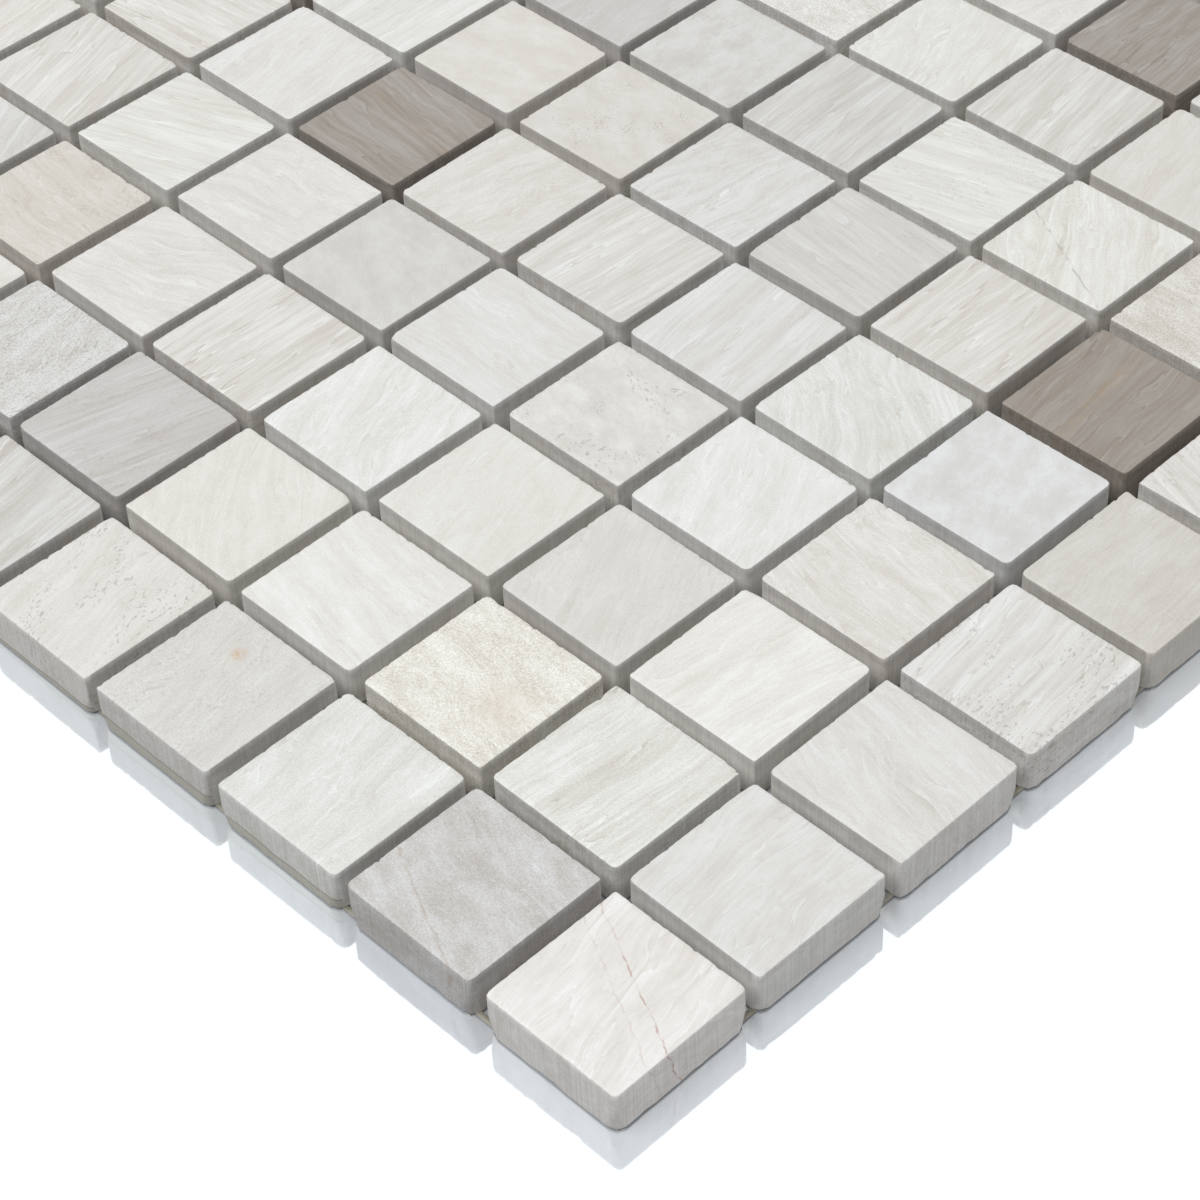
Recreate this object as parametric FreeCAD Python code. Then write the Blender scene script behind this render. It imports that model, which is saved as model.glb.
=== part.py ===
"""Stone mosaic sheet: square marble chips in a straight grid, glued by their backs onto a glass-fibre net.

The sheet lies flat with its good face up. The origin is the centre of its underside, +Z is up, +X runs along a
row of chips and +Y runs across the rows. The sizes are in millimetres and the angles in degrees.
"""

import FreeCAD, Part
import math
import os
import random

# Sheet layout
CHIPS_PER_SIDE = 12
CHIP_SIDE = 23.0
JOINT = 2.4

# Stone chip
CHIP_THICKNESS = 7.0
CORNER_RADIUS_CRISP = 0.25
CORNER_RADIUS_WORN = 0.95
FOOT_RADIUS_GAIN = 1.0
WAIST_SHARE = 0.4
FLATS_PER_CORNER = 2

# How far a hand-laid chip strays from its place in the grid
LAYING_SHIFT = 0.2
LAYING_TURN = 0.45
SIDE_SPREAD = 0.2

# Glass-fibre net, trimmed a little inside the edge of the sheet
YARNS_PER_CHIP = 5
YARN_WIDTH = 0.9
YARN_THICKNESS = 0.25
NET_TRIM = 0.35

# The same numbers always lay the same sheet
LAYING_SEED = 41

PITCH = CHIP_SIDE + JOINT
SHEET_SIDE = CHIPS_PER_SIDE * PITCH - JOINT
NET_THICKNESS = 2 * YARN_THICKNESS
YARN_PITCH = PITCH / YARNS_PER_CHIP
UP = FreeCAD.Vector(0, 0, 1)
QUARTER_TURN = 90


def at(x, y, z=0.0):
    """A point of the sheet's frame."""
    return FreeCAD.Vector(x, y, z)


def chip_outline(side_x, side_y, radii, z):
    """The corners of a chip's plan at height z: a rectangle about its own centre, each corner worn to its radius.

    The corners are taken anticlockwise from the one at +X +Y, and each is worn to a few flats.
    """
    points = []
    signs = [(1, 1), (-1, 1), (-1, -1), (1, -1)]
    for number, ((sign_x, sign_y), radius) in enumerate(zip(signs, radii)):
        centre = at(sign_x * (side_x / 2 - radius), sign_y * (side_y / 2 - radius), z)
        for step in range(FLATS_PER_CORNER + 1):
            angle = math.radians(QUARTER_TURN * (number + step / FLATS_PER_CORNER))
            points.append(centre + at(radius * math.cos(angle), radius * math.sin(angle)))
    return points


def flat_face(points):
    """The flat face inside a closed run of points."""
    return Part.Face(Part.makePolygon(points + points[:1]))


def stacked_solid(outlines):
    """The solid with flat sides that passes through a stack of outlines, which all have as many points."""
    faces = [flat_face(outlines[0]), flat_face(outlines[-1])]
    for lower, upper in zip(outlines, outlines[1:]):
        for number in range(len(lower)):
            before = number - 1
            faces.append(flat_face([lower[before], lower[number], upper[number], upper[before]]))
    return Part.makeSolid(Part.makeShell(faces))


def stone_chip(side_x, side_y, radii):
    """One sawn chip standing on z = 0, its upright corners worn rounder below the waist."""
    foot_radii = [radius + FOOT_RADIUS_GAIN for radius in radii]
    foot = chip_outline(side_x, side_y, foot_radii, 0.0)
    waist = chip_outline(side_x, side_y, radii, WAIST_SHARE * CHIP_THICKNESS)
    face = chip_outline(side_x, side_y, radii, CHIP_THICKNESS)
    return stacked_solid([foot, waist, face])


def laid_chip(column, row, dice):
    """A chip in its place in the grid, a little off it as a hand-laid chip is, on top of the net."""
    side_x = CHIP_SIDE + dice.uniform(-SIDE_SPREAD, SIDE_SPREAD)
    side_y = CHIP_SIDE + dice.uniform(-SIDE_SPREAD, SIDE_SPREAD)
    radii = [dice.uniform(CORNER_RADIUS_CRISP, CORNER_RADIUS_WORN) for _ in range(4)]
    shift_x = dice.uniform(-LAYING_SHIFT, LAYING_SHIFT)
    shift_y = dice.uniform(-LAYING_SHIFT, LAYING_SHIFT)
    turn = dice.uniform(-LAYING_TURN, LAYING_TURN)
    middle = (CHIPS_PER_SIDE - 1) / 2
    place = at((column - middle) * PITCH + shift_x, (row - middle) * PITCH + shift_y, NET_THICKNESS)
    chip = stone_chip(side_x, side_y, radii)
    chip.Placement = FreeCAD.Placement(place, FreeCAD.Rotation(UP, turn))
    return chip


def yarn_places():
    """Where the yarns of one direction cross the sheet, evenly spaced about its middle."""
    count = CHIPS_PER_SIDE * YARNS_PER_CHIP
    return [(number - (count - 1) / 2) * YARN_PITCH for number in range(count)]


def net_warp():
    """The lower yarns, which run along X."""
    length = SHEET_SIDE - 2 * NET_TRIM
    return Part.makeCompound([
        Part.makeBox(length, YARN_WIDTH, YARN_THICKNESS, at(-length / 2, place - YARN_WIDTH / 2))
        for place in yarn_places()
    ])


def net_weft():
    """The upper yarns, which run along Y and lie on the warp."""
    length = SHEET_SIDE - 2 * NET_TRIM
    return Part.makeCompound([
        Part.makeBox(YARN_WIDTH, length, YARN_THICKNESS, at(place - YARN_WIDTH / 2, -length / 2, YARN_THICKNESS))
        for place in yarn_places()
    ])


def chip_row(row, dice):
    """One row of chips, each a solid of its own with an open joint to the next."""
    return Part.makeCompound([laid_chip(column, row, dice) for column in range(CHIPS_PER_SIDE)])


def main():
    """Write every node of the sheet to its own file."""
    os.makedirs("parts", exist_ok=True)
    dice = random.Random(LAYING_SEED)
    nodes = {"net_warp": net_warp(), "net_weft": net_weft()}
    for row in range(CHIPS_PER_SIDE):
        nodes[f"chip_row_{row + 1:02d}"] = chip_row(row, dice)
    for name, shape in nodes.items():
        shape.exportStep(f"parts/{name}.step")


main()
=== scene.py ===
"""A sheet of stone mosaic: honed marble chips on a glass-fibre net, dressed and lit for its picture.

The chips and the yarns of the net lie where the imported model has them. This script gives the chips their worn
arrises, sawn sides and veined stone, weaves the yarns and adds the glue that holds the chips to the net. The sizes
are in metres and the angles in degrees, unless a name says otherwise.
"""

import logging
import math
import random
from dataclasses import dataclass, field
from enum import Enum

import bpy
import numpy as np
from mathutils import Matrix, Vector


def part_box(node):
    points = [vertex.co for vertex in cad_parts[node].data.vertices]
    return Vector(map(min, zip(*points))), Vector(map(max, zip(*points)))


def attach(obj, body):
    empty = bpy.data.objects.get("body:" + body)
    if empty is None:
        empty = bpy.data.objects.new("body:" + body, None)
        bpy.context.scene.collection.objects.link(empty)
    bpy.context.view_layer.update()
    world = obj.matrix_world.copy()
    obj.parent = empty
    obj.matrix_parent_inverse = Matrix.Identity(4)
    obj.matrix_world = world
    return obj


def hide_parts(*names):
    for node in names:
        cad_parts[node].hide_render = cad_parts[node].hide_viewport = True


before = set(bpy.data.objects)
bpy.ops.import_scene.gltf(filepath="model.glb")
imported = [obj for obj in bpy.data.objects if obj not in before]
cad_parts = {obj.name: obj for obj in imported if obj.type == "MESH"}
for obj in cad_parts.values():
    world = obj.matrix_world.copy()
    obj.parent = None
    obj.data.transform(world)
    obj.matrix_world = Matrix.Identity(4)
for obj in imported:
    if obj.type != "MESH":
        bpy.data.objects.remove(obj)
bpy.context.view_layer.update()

MM = 0.001
CHIPS_PER_SIDE = 12
PITCH = 25.4 * MM
YARNS_PER_CHIP = 5
SHEET_SEED = 7

log = logging.getLogger("mosaic sheet")


class Stone(Enum):
    """The shades of stone in the mix, each as red, green and blue of its honed face."""

    BRIGHT = (0.797, 0.797, 0.768)
    ROSY_WHITE = (0.805, 0.786, 0.757)
    WARM_WHITE = (0.735, 0.723, 0.692)
    IVORY = (0.757, 0.751, 0.710)
    COOL_WHITE = (0.715, 0.722, 0.712)
    SAND = (0.650, 0.625, 0.580)
    PALE_GREY = (0.700, 0.686, 0.652)
    ASH = (0.655, 0.643, 0.612)
    GREY = (0.600, 0.583, 0.562)
    TAUPE = (0.345, 0.313, 0.280)
    UMBER = (0.320, 0.287, 0.252)
    YELLOWED = (0.770, 0.760, 0.705)


class Grain(Enum):
    """How the layers of a chip show: strength of the lines, waviness, and strengths of the clouds and the grit."""

    STRAIGHT = (1.2, 0.15, 0.25, 0.8)
    LAYERED = (1.9, 0.45, 0.3, 1.6)
    WAVY = (0.9, 0.8, 0.4, 1.2)
    SOFT = (0.6, 0.5, 0.45, 1.0)
    SMOOTH = (0.8, 0.55, 0.5, 0.6)
    SANDY = (0.75, 0.7, 0.4, 1.5)
    CLOUDED = (0.15, 1.2, 1.0, 0.8)
    MOTTLED = (0.9, 1.3, 1.0, 3.2)
    SPECKLED = (0.5, 0.5, 1.2, 2.3)
    STRIPED = (1.9, 0.35, 0.5, 1.0)


class Seam(Enum):
    """The colour of what has filled a crack in the stone."""

    RED = (0.42, 0.20, 0.15)
    BROWN = (0.40, 0.30, 0.20)
    DUSKY = (0.33, 0.30, 0.28)
    PALE = (0.90, 0.89, 0.86)


@dataclass(frozen=True)
class Crack:
    """A healed crack that runs right through a chip, as a line on its good face, with a fainter one beside it.

    The lean is how far it strays, for each millimetre that it goes down into the chip.
    """

    seam: Seam
    turn: float
    offset: float
    width: float
    strength: float
    branch: float = 1000.0
    lean: float = 0.0


@dataclass(frozen=True)
class Stain:
    """A rusty spot, by its place on the good face as shares of half a chip and its radius in millimetres."""

    across: float
    along: float
    radius: float
    strength: float = 1.0


@dataclass(frozen=True)
class Bruise:
    """A knock on an arris, by its place on the good face, its radius and its depth, all in millimetres."""

    across: float
    along: float
    radius: float
    depth: float


@dataclass(frozen=True)
class Cut:
    """What one chip was cut from, and which way its layers run, as degrees from the row."""

    stone: Stone
    grain: Grain
    turn: float = 0.0
    pits: float = 0.0
    crack: Crack | None = None
    stain: Stain | None = None


# The chips that stand out, by row and column from the near corner
NOTABLE_CHIPS = {
    (0, 0): Cut(Stone.ROSY_WHITE, Grain.SMOOTH, 12.0, crack=Crack(Seam.RED, 64.0, -2.7, 0.19, 0.55, 2.8, 0.25)),
    (0, 1): Cut(Stone.WARM_WHITE, Grain.SMOOTH, 6.0, crack=Crack(Seam.PALE, 5.0, 2.6, 0.25, 0.45, -7.5)),
    (0, 2): Cut(Stone.WARM_WHITE, Grain.SOFT, 78.0),
    (0, 3): Cut(Stone.WARM_WHITE, Grain.STRAIGHT, 4.0, 1.0),
    (0, 4): Cut(Stone.SAND, Grain.SOFT, 8.0, 0.15),
    (1, 0): Cut(Stone.GREY, Grain.SPECKLED, 75.0, 0.1, Crack(Seam.BROWN, 65.0, 7.3, 0.30, 0.35)),
    (1, 1): Cut(Stone.IVORY, Grain.LAYERED, -6.0),
    (1, 2): Cut(Stone.BRIGHT, Grain.SOFT, -8.0, 0.15),
    (1, 3): Cut(Stone.WARM_WHITE, Grain.WAVY, 84.0, 0.3),
    (1, 4): Cut(Stone.COOL_WHITE, Grain.CLOUDED, 30.0),
    (1, 5): Cut(Stone.UMBER, Grain.STRIPED, 10.0, crack=Crack(Seam.BROWN, 8.0, 2.0, 1.6, 0.35)),
    (2, 0): Cut(Stone.IVORY, Grain.SANDY, 3.0, 0.05, Crack(Seam.PALE, -1.0, -8.5, 0.30, 0.7, 10.4)),
    (2, 1): Cut(Stone.YELLOWED, Grain.MOTTLED, 80.0, 0.2, stain=Stain(-0.12, -0.43, 7.0, 0.4)),
    (2, 2): Cut(Stone.PALE_GREY, Grain.SOFT, 25.0),
    (2, 3): Cut(Stone.BRIGHT, Grain.SOFT, 30.0),
    (2, 4): Cut(Stone.IVORY, Grain.WAVY, 60.0),
    (2, 5): Cut(Stone.PALE_GREY, Grain.STRAIGHT, 5.0),
    (2, 6): Cut(Stone.IVORY, Grain.WAVY, 40.0, crack=Crack(Seam.DUSKY, 62.0, 4.5, 0.25, 0.45)),
    (2, 7): Cut(Stone.PALE_GREY, Grain.SOFT, 12.0),
    (3, 0): Cut(Stone.PALE_GREY, Grain.SANDY, 10.0, 0.5, stain=Stain(0.45, 0.16, 1.9, 1.7)),
    (3, 1): Cut(Stone.BRIGHT, Grain.SOFT, 85.0),
    (3, 2): Cut(Stone.IVORY, Grain.SOFT, 15.0),
    (3, 3): Cut(Stone.WARM_WHITE, Grain.CLOUDED, 70.0, 0.9),
    (3, 5): Cut(Stone.ASH, Grain.STRAIGHT, 88.0),
    (3, 8): Cut(Stone.TAUPE, Grain.STRIPED, 0.0),
    (4, 0): Cut(Stone.WARM_WHITE, Grain.SOFT, 15.0, 1.0),
    (4, 1): Cut(Stone.IVORY, Grain.SOFT, 40.0),
    (4, 2): Cut(Stone.BRIGHT, Grain.WAVY, 25.0),
    (4, 6): Cut(Stone.ASH, Grain.STRAIGHT, 3.0),
    (5, 0): Cut(Stone.ASH, Grain.STRAIGHT, 5.0, 0.3),
    (5, 2): Cut(Stone.PALE_GREY, Grain.STRAIGHT, 4.0),
    (5, 3): Cut(Stone.ASH, Grain.CLOUDED, 60.0),
    (5, 5): Cut(Stone.PALE_GREY, Grain.CLOUDED, 75.0, 0.8),
    (6, 1): Cut(Stone.ASH, Grain.MOTTLED, 10.0, 1.0),
    (6, 4): Cut(Stone.TAUPE, Grain.STRIPED, 85.0, crack=Crack(Seam.BROWN, 80.0, -2.0, 1.2, 0.25)),
    (6, 6): Cut(Stone.GREY, Grain.SOFT, 0.0),
}

# The worst knocks on the front chips
BRUISES = {
    (0, 0): (Bruise(-11.6, -4.0, 1.2, 0.25),),
    (1, 1): (Bruise(8.3, 11.6, 1.8, 0.2),),
    (1, 2): (Bruise(11.6, 10.8, 1.3, 0.3),),
    (2, 0): (Bruise(-10.0, -11.5, 2.4, 0.12), Bruise(-3.5, -11.6, 1.2, 0.15), Bruise(11.5, 4.5, 1.2, 0.2)),
    (2, 2): (Bruise(-11.2, -11.2, 1.4, 0.3), Bruise(6.0, -11.6, 1.1, 0.25)),
    (3, 1): (Bruise(-11.4, -11.4, 1.6, 0.3),),
    (1, 3): (Bruise(-11.3, -11.3, 2.0, 0.3), Bruise(-11.6, 2.0, 1.2, 0.2)),
}

# The chips whose foot shows a film of glue on the left-hand side, with how high it reaches
GLUED_FEET = {(2, 0): 1.5, (3, 0): 1.9, (4, 0): 0.7, (6, 0): 1.1}

# The rest of the mix, with the share of each
COMMON_STONES = {
    Stone.WARM_WHITE: 0.37,
    Stone.IVORY: 0.16,
    Stone.COOL_WHITE: 0.04,
    Stone.SAND: 0.06,
    Stone.PALE_GREY: 0.24,
    Stone.ASH: 0.06,
    Stone.GREY: 0.03,
    Stone.TAUPE: 0.03,
}
COMMON_GRAINS = {Grain.STRAIGHT: 0.32, Grain.WAVY: 0.28, Grain.SOFT: 0.24, Grain.CLOUDED: 0.08, Grain.MOTTLED: 0.08}


def deselect_all() -> None:
    """Leave edit mode if need be and deselect every object."""
    if bpy.context.object and bpy.context.object.mode != "OBJECT":
        bpy.ops.object.mode_set(mode="OBJECT")
    bpy.ops.object.select_all(action="DESELECT")


def make_active(piece: bpy.types.Object) -> None:
    """Select one object alone and make it the active one.

    Args:
        piece: The object that the next operators act on.
    """
    deselect_all()
    piece.select_set(True)
    bpy.context.view_layer.objects.active = piece


def select_vertices(piece: bpy.types.Object, wanted: np.ndarray) -> None:
    """Select some vertices of a mesh, in edit mode with vertices as the select mode.

    Args:
        piece: The active object, in object mode.
        wanted: One truth value for each vertex.
    """
    bpy.ops.object.mode_set(mode="EDIT")
    bpy.ops.mesh.select_mode(type="VERT")
    bpy.ops.mesh.select_all(action="DESELECT")
    bpy.ops.object.mode_set(mode="OBJECT")
    piece.data.vertices.foreach_set("select", wanted)
    bpy.ops.object.mode_set(mode="EDIT")


def select_edges(piece: bpy.types.Object, wanted: np.ndarray) -> None:
    """Select some edges of a mesh and nothing else, and stay in edit mode.

    Args:
        piece: The active object, in object mode.
        wanted: One truth value for each edge.
    """
    bpy.ops.object.mode_set(mode="EDIT")
    bpy.ops.mesh.select_mode(type="EDGE")
    bpy.ops.mesh.select_all(action="DESELECT")
    bpy.ops.object.mode_set(mode="OBJECT")
    piece.data.edges.foreach_set("select", wanted)
    bpy.ops.object.mode_set(mode="EDIT")


def select_faces(piece: bpy.types.Object, wanted: np.ndarray) -> None:
    """Select some faces of a mesh and nothing else, and stay in edit mode.

    Args:
        piece: The active object, in object mode.
        wanted: One truth value for each face.
    """
    bpy.ops.object.mode_set(mode="EDIT")
    bpy.ops.mesh.select_mode(type="FACE")
    bpy.ops.mesh.select_all(action="DESELECT")
    bpy.ops.object.mode_set(mode="OBJECT")
    piece.data.polygons.foreach_set("select", wanted)
    bpy.ops.object.mode_set(mode="EDIT")


def vertex_places(mesh: bpy.types.Mesh) -> np.ndarray:
    """The places of a mesh's vertices.

    Args:
        mesh: The mesh to read.

    Returns:
        One row of x, y and z for each vertex.
    """
    places = np.empty(len(mesh.vertices) * 3)
    mesh.vertices.foreach_get("co", places)
    return places.reshape(-1, 3)


def edge_ends(mesh: bpy.types.Mesh) -> tuple[np.ndarray, np.ndarray]:
    """The two end points of every edge.

    Args:
        mesh: The mesh to read.

    Returns:
        Two arrays of points, one row for each edge.
    """
    ends = np.empty(len(mesh.edges) * 2, int)
    mesh.edges.foreach_get("vertices", ends)
    places = vertex_places(mesh)
    ends = ends.reshape(-1, 2)
    return places[ends[:, 0]], places[ends[:, 1]]


def face_normals(mesh: bpy.types.Mesh) -> np.ndarray:
    """The normals of a mesh's faces.

    Args:
        mesh: The mesh to read.

    Returns:
        One row of x, y and z for each face.
    """
    normals = np.empty(len(mesh.polygons) * 3)
    mesh.polygons.foreach_get("normal", normals)
    return normals.reshape(-1, 3)


def chip_columns(places: np.ndarray) -> np.ndarray:
    """The column of the chip that each place lies in.

    Args:
        places: One row of x, y and z for each place.

    Returns:
        One column for each place, counted from the left-hand edge.
    """
    return np.floor(places[:, 0] / PITCH + CHIPS_PER_SIDE / 2).astype(int).clip(0, CHIPS_PER_SIDE - 1)


@dataclass
class ChipRow:
    """One row of chips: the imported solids, worn and dressed."""

    number: int
    cuts_along: int = 44
    border: float = 0.7 * MM
    rim_wear: float = 0.14 * MM
    foot_wear: float = 0.16 * MM
    nick_height: float = 0.9 * MM
    foot_height: float = 1.7 * MM
    foot_lip: float = 0.33 * MM
    long_edge: float = 10 * MM
    flush: float = 0.02 * MM
    outer_band: float = 0.35 * MM
    piece: bpy.types.Object = field(init=False, default=None)

    def __post_init__(self) -> None:
        """Name the row and read the heights of its good face and its foot."""
        self.node = f"chip_row_{self.number + 1:02d}"
        low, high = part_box(self.node)
        self.foot_z, self.face_z = low[2], high[2]

    def build(self) -> bpy.types.Object:
        """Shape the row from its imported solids.

        Returns:
            The row's object.
        """
        self._copy_solids()
        self._divide_sides()
        self._border_caps()
        self._wear()
        self._round_rims()
        self._finish_mesh()
        return self.piece

    def _copy_solids(self) -> None:
        """Copy the row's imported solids, with whole flat faces in place of loose triangles."""
        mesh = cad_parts[self.node].data.copy()
        mesh.materials.clear()
        self.piece = bpy.data.objects.new(f"stone_row_{self.number + 1:02d}", mesh)
        bpy.context.scene.collection.objects.link(self.piece)
        make_active(self.piece)
        bpy.ops.object.mode_set(mode="EDIT")
        bpy.ops.mesh.select_all(action="SELECT")
        bpy.ops.mesh.remove_doubles(threshold=1e-6)
        bpy.ops.mesh.tris_convert_to_quads(face_threshold=math.radians(1), shape_threshold=math.pi)
        bpy.ops.object.mode_set(mode="OBJECT")

    def _divide_sides(self) -> None:
        """Cut the sides into narrow upright strips, and across where wear stops, with one whole face on each end."""
        select_faces(self.piece, np.abs(face_normals(self.piece.data)[:, 2]) > 0.99)
        bpy.ops.mesh.delete(type="FACE")
        bpy.ops.object.mode_set(mode="OBJECT")
        start, end = edge_ends(self.piece.data)
        run = np.abs(end - start)
        level = run[:, 2] < self.flush
        select_edges(self.piece, level & (np.linalg.norm(run, axis=1) > self.long_edge))
        bpy.ops.mesh.subdivide(number_cuts=self.cuts_along)
        for height in (self.face_z - self.nick_height, self.foot_z + self.foot_height):
            bpy.ops.mesh.select_all(action="SELECT")
            bpy.ops.mesh.bisect(plane_co=(0, 0, height), plane_no=(0, 0, 1))
        bpy.ops.mesh.select_all(action="SELECT")
        bpy.ops.mesh.fill_holes(sides=0)
        bpy.ops.mesh.select_all(action="SELECT")
        bpy.ops.mesh.normals_make_consistent(inside=False)
        bpy.ops.object.mode_set(mode="OBJECT")

    def _border_caps(self) -> None:
        """Lay a border inside the good face and the underside of every chip, so that wear stops at it."""
        select_faces(self.piece, self._caps())
        bpy.ops.mesh.inset(thickness=self.flush, use_individual=True)
        bpy.ops.object.mode_set(mode="OBJECT")
        caps = np.flatnonzero(self._caps())
        centres = np.array([self.piece.data.polygons[cap].center for cap in caps])
        columns = chip_columns(centres)
        shrink = 1 - self.border / (PITCH / 2)
        for column in range(CHIPS_PER_SIDE):
            ours = np.zeros(len(self.piece.data.polygons), bool)
            ours[caps[columns == column]] = True
            select_faces(self.piece, ours)
            centre = centres[columns == column].mean(axis=0)
            bpy.ops.transform.resize(value=(shrink, shrink, 1), center_override=tuple(centre))
            bpy.ops.object.mode_set(mode="OBJECT")

    def _caps(self) -> np.ndarray:
        """Which faces are the whole flat ends of chips."""
        areas = np.empty(len(self.piece.data.polygons))
        self.piece.data.polygons.foreach_get("area", areas)
        return areas > self.long_edge**2

    def _wear(self) -> None:
        """Nick the arrises, bruise a few corners, and leave the foot uneven, with a lip that beds the net."""
        places = vertex_places(self.piece.data)
        normals = np.empty(len(places) * 3)
        self.piece.data.vertices.foreach_get("normal", normals)
        outer = np.abs(normals.reshape(-1, 3)[:, 2]) < 0.99
        rim = (places[:, 2] > self.face_z - self.flush) & outer
        foot = (places[:, 2] < self.foot_z + self.flush) & outer
        columns = chip_columns(places)
        middles = (np.arange(CHIPS_PER_SIDE) - (CHIPS_PER_SIDE - 1) / 2) * PITCH
        across = np.abs(places[:, 0] - middles[columns]) / (PITCH / 2)
        along = np.abs(places[:, 1] - middles[self.number]) / (PITCH / 2)
        corner = np.clip((np.minimum(across, along) - 0.68) / 0.15, 0, 1)
        self._displace("arris_wander", rim.astype(float), 1.1 * MM, 0.08 * MM, (0.25, 0.75))
        self._displace("arris_nicks", rim * (0.6 + 0.4 * corner), 0.7 * MM, 0.42 * MM, (0.64, 0.86))
        self._displace("corner_wear", rim * (0.1 + 0.9 * corner), 3.4 * MM, 0.30 * MM, (0.60, 0.84))
        for column in range(CHIPS_PER_SIDE):
            for bruise in BRUISES.get((self.number, column), ()):
                centre = (middles[column] + bruise.across * MM, middles[self.number] + bruise.along * MM)
                away = np.hypot(places[:, 0] - centre[0], places[:, 1] - centre[1]) / (bruise.radius * MM)
                knocked = rim * np.clip(1.4 * (1 - away), 0, 1)
                self._displace(f"bruise_{column}", knocked, 1.2 * MM, bruise.depth * MM, (0.10, 0.60))
        self._displace("foot_chips", foot.astype(float), 2.6 * MM, 0.17 * MM, (0.45, 0.80))
        select_vertices(self.piece, foot)
        bpy.ops.transform.translate(value=(0, 0, -self.foot_lip))
        bpy.ops.object.mode_set(mode="OBJECT")

    def _displace(self, name: str, weights: np.ndarray, size: float, depth: float, band: tuple) -> None:
        """Press the surface in by a cloudy pattern where the weights say so.

        Args:
            name: The name of the wear.
            weights: How much each vertex takes part, from 0 to 1.
            size: The size of the pattern's patches.
            depth: How deep the deepest patches go.
            band: The part of the pattern's range over which the depth grows from nothing to all.
        """
        group = self.piece.vertex_groups.new(name=name)
        rounded = np.round(weights, 1)
        for weight in np.unique(rounded[rounded > 0]):
            group.add(np.flatnonzero(rounded == weight).tolist(), float(weight), "REPLACE")
        texture = bpy.data.textures.get(name) or bpy.data.textures.new(name, "CLOUDS")
        texture.noise_scale = size
        texture.noise_depth = 2
        texture.use_color_ramp = True
        ramp = texture.color_ramp
        ramp.elements[0].position, ramp.elements[1].position = band
        ramp.elements[0].color = (0, 0, 0, 1)
        ramp.elements[1].color = (1, 1, 1, 1)
        wear = self.piece.modifiers.new(name, "DISPLACE")
        wear.texture = texture
        wear.texture_coords = "LOCAL"
        wear.vertex_group = group.name
        wear.mid_level = 0.0
        wear.strength = -depth
        bpy.ops.object.modifier_apply(modifier=name)

    def _round_rims(self) -> None:
        """Round the arris round the good face, and more loosely the one round the foot."""
        for sign, width, segments in ((1, self.rim_wear, 2), (-1, self.foot_wear, 1)):
            rim = self._rim_edges(sign)
            select_edges(self.piece, rim)
            bpy.ops.mesh.bevel(offset=width, segments=segments, profile=0.5, clamp_overlap=True)
            bpy.ops.object.mode_set(mode="OBJECT")

    def _rim_edges(self, sign: int) -> np.ndarray:
        """The edges between a chip's sides and the border of one of its ends.

        Args:
            sign: 1 for the good face and -1 for the underside.

        Returns:
            One truth value for each edge.
        """
        mesh = self.piece.data
        level = {}
        for polygon in mesh.polygons:
            end_on = polygon.normal.z * sign > 0.5
            for key in polygon.edge_keys:
                level.setdefault(key, []).append(end_on)
        return np.array([sorted(level[edge.key]) == [False, True] for edge in mesh.edges])

    def _finish_mesh(self) -> None:
        """Drop the helper groups, shade the rounded stretches smooth and keep the ends flat."""
        self.piece.vertex_groups.clear()
        bpy.ops.object.shade_smooth_by_angle(angle=math.radians(38))
        select_faces(self.piece, self._caps())
        bpy.ops.mesh.faces_shade_flat()
        bpy.ops.object.mode_set(mode="OBJECT")
        crisp = self.piece.modifiers.new("crisp", "WEIGHTED_NORMAL")
        crisp.keep_sharp = True
        bpy.ops.object.modifier_apply(modifier=crisp.name)

    def dress(self, cuts: list[Cut], dice: random.Random, stone: bpy.types.Material) -> None:
        """Give every chip its own cut of stone.

        Args:
            cuts: What each chip of the row was cut from, by column.
            dice: The source of chance.
            stone: The material that reads the chips' attributes.
        """
        mesh = self.piece.data
        places = vertex_places(mesh)
        columns = chip_columns(places)
        in_block = np.zeros_like(places)
        tints = np.ones((len(places), 4))
        makes = np.zeros_like(places)
        waves = np.zeros(len(places))
        cracks = np.zeros_like(places)
        seams = np.zeros((len(places), 4))
        stains = np.zeros_like(places)
        films = np.zeros(len(places))
        # Mark the walls inside the joints, which the stone darkens near the top and lightens lower down as painted
        # shade and light
        low, high = np.array(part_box("net_warp")) + [[self.outer_band], [-self.outer_band]]
        outside = (places[:, :2] < low[:2]) | (places[:, :2] > high[:2])
        in_joint = np.where(outside.any(axis=1), 0.0, 1.0)
        for column, cut in enumerate(cuts):
            members = columns == column
            on_chip = (places[members] - places[members].mean(axis=0)) / MM
            films[members] = GLUED_FEET.get((self.number, column), 0.0)
            if cut.crack:
                angle = math.radians(cut.crack.turn)
                gap = on_chip[:, 1] * math.cos(angle) - on_chip[:, 0] * math.sin(angle) - cut.crack.offset
                gap += (self.face_z - places[members, 2]) / MM * cut.crack.lean
                cracks[members, 0] = gap
                cracks[members, 1] = cut.crack.width
                cracks[members, 2] = cut.crack.branch
                seams[members, :3] = cut.crack.seam.value
                seams[members, 3] = cut.crack.strength
            if cut.stain:
                half_chip = PITCH / MM / 2
                stains[members, 0] = (on_chip[:, 0] - cut.stain.across * half_chip) / cut.stain.radius
                stains[members, 1] = (on_chip[:, 1] - cut.stain.along * half_chip) / cut.stain.radius
                stains[members, 2] = cut.stain.strength
            lines, waviness, clouds, grit = cut.grain.value
            turn = math.radians(cut.turn + dice.uniform(-5, 5))
            tilt = math.radians(dice.uniform(-25, 25))
            into_block = Matrix.Rotation(tilt, 3, "X") @ Matrix.Rotation(-turn, 3, "Z")
            offset = np.array([dice.uniform(-500, 500) for _ in range(3)])
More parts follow.
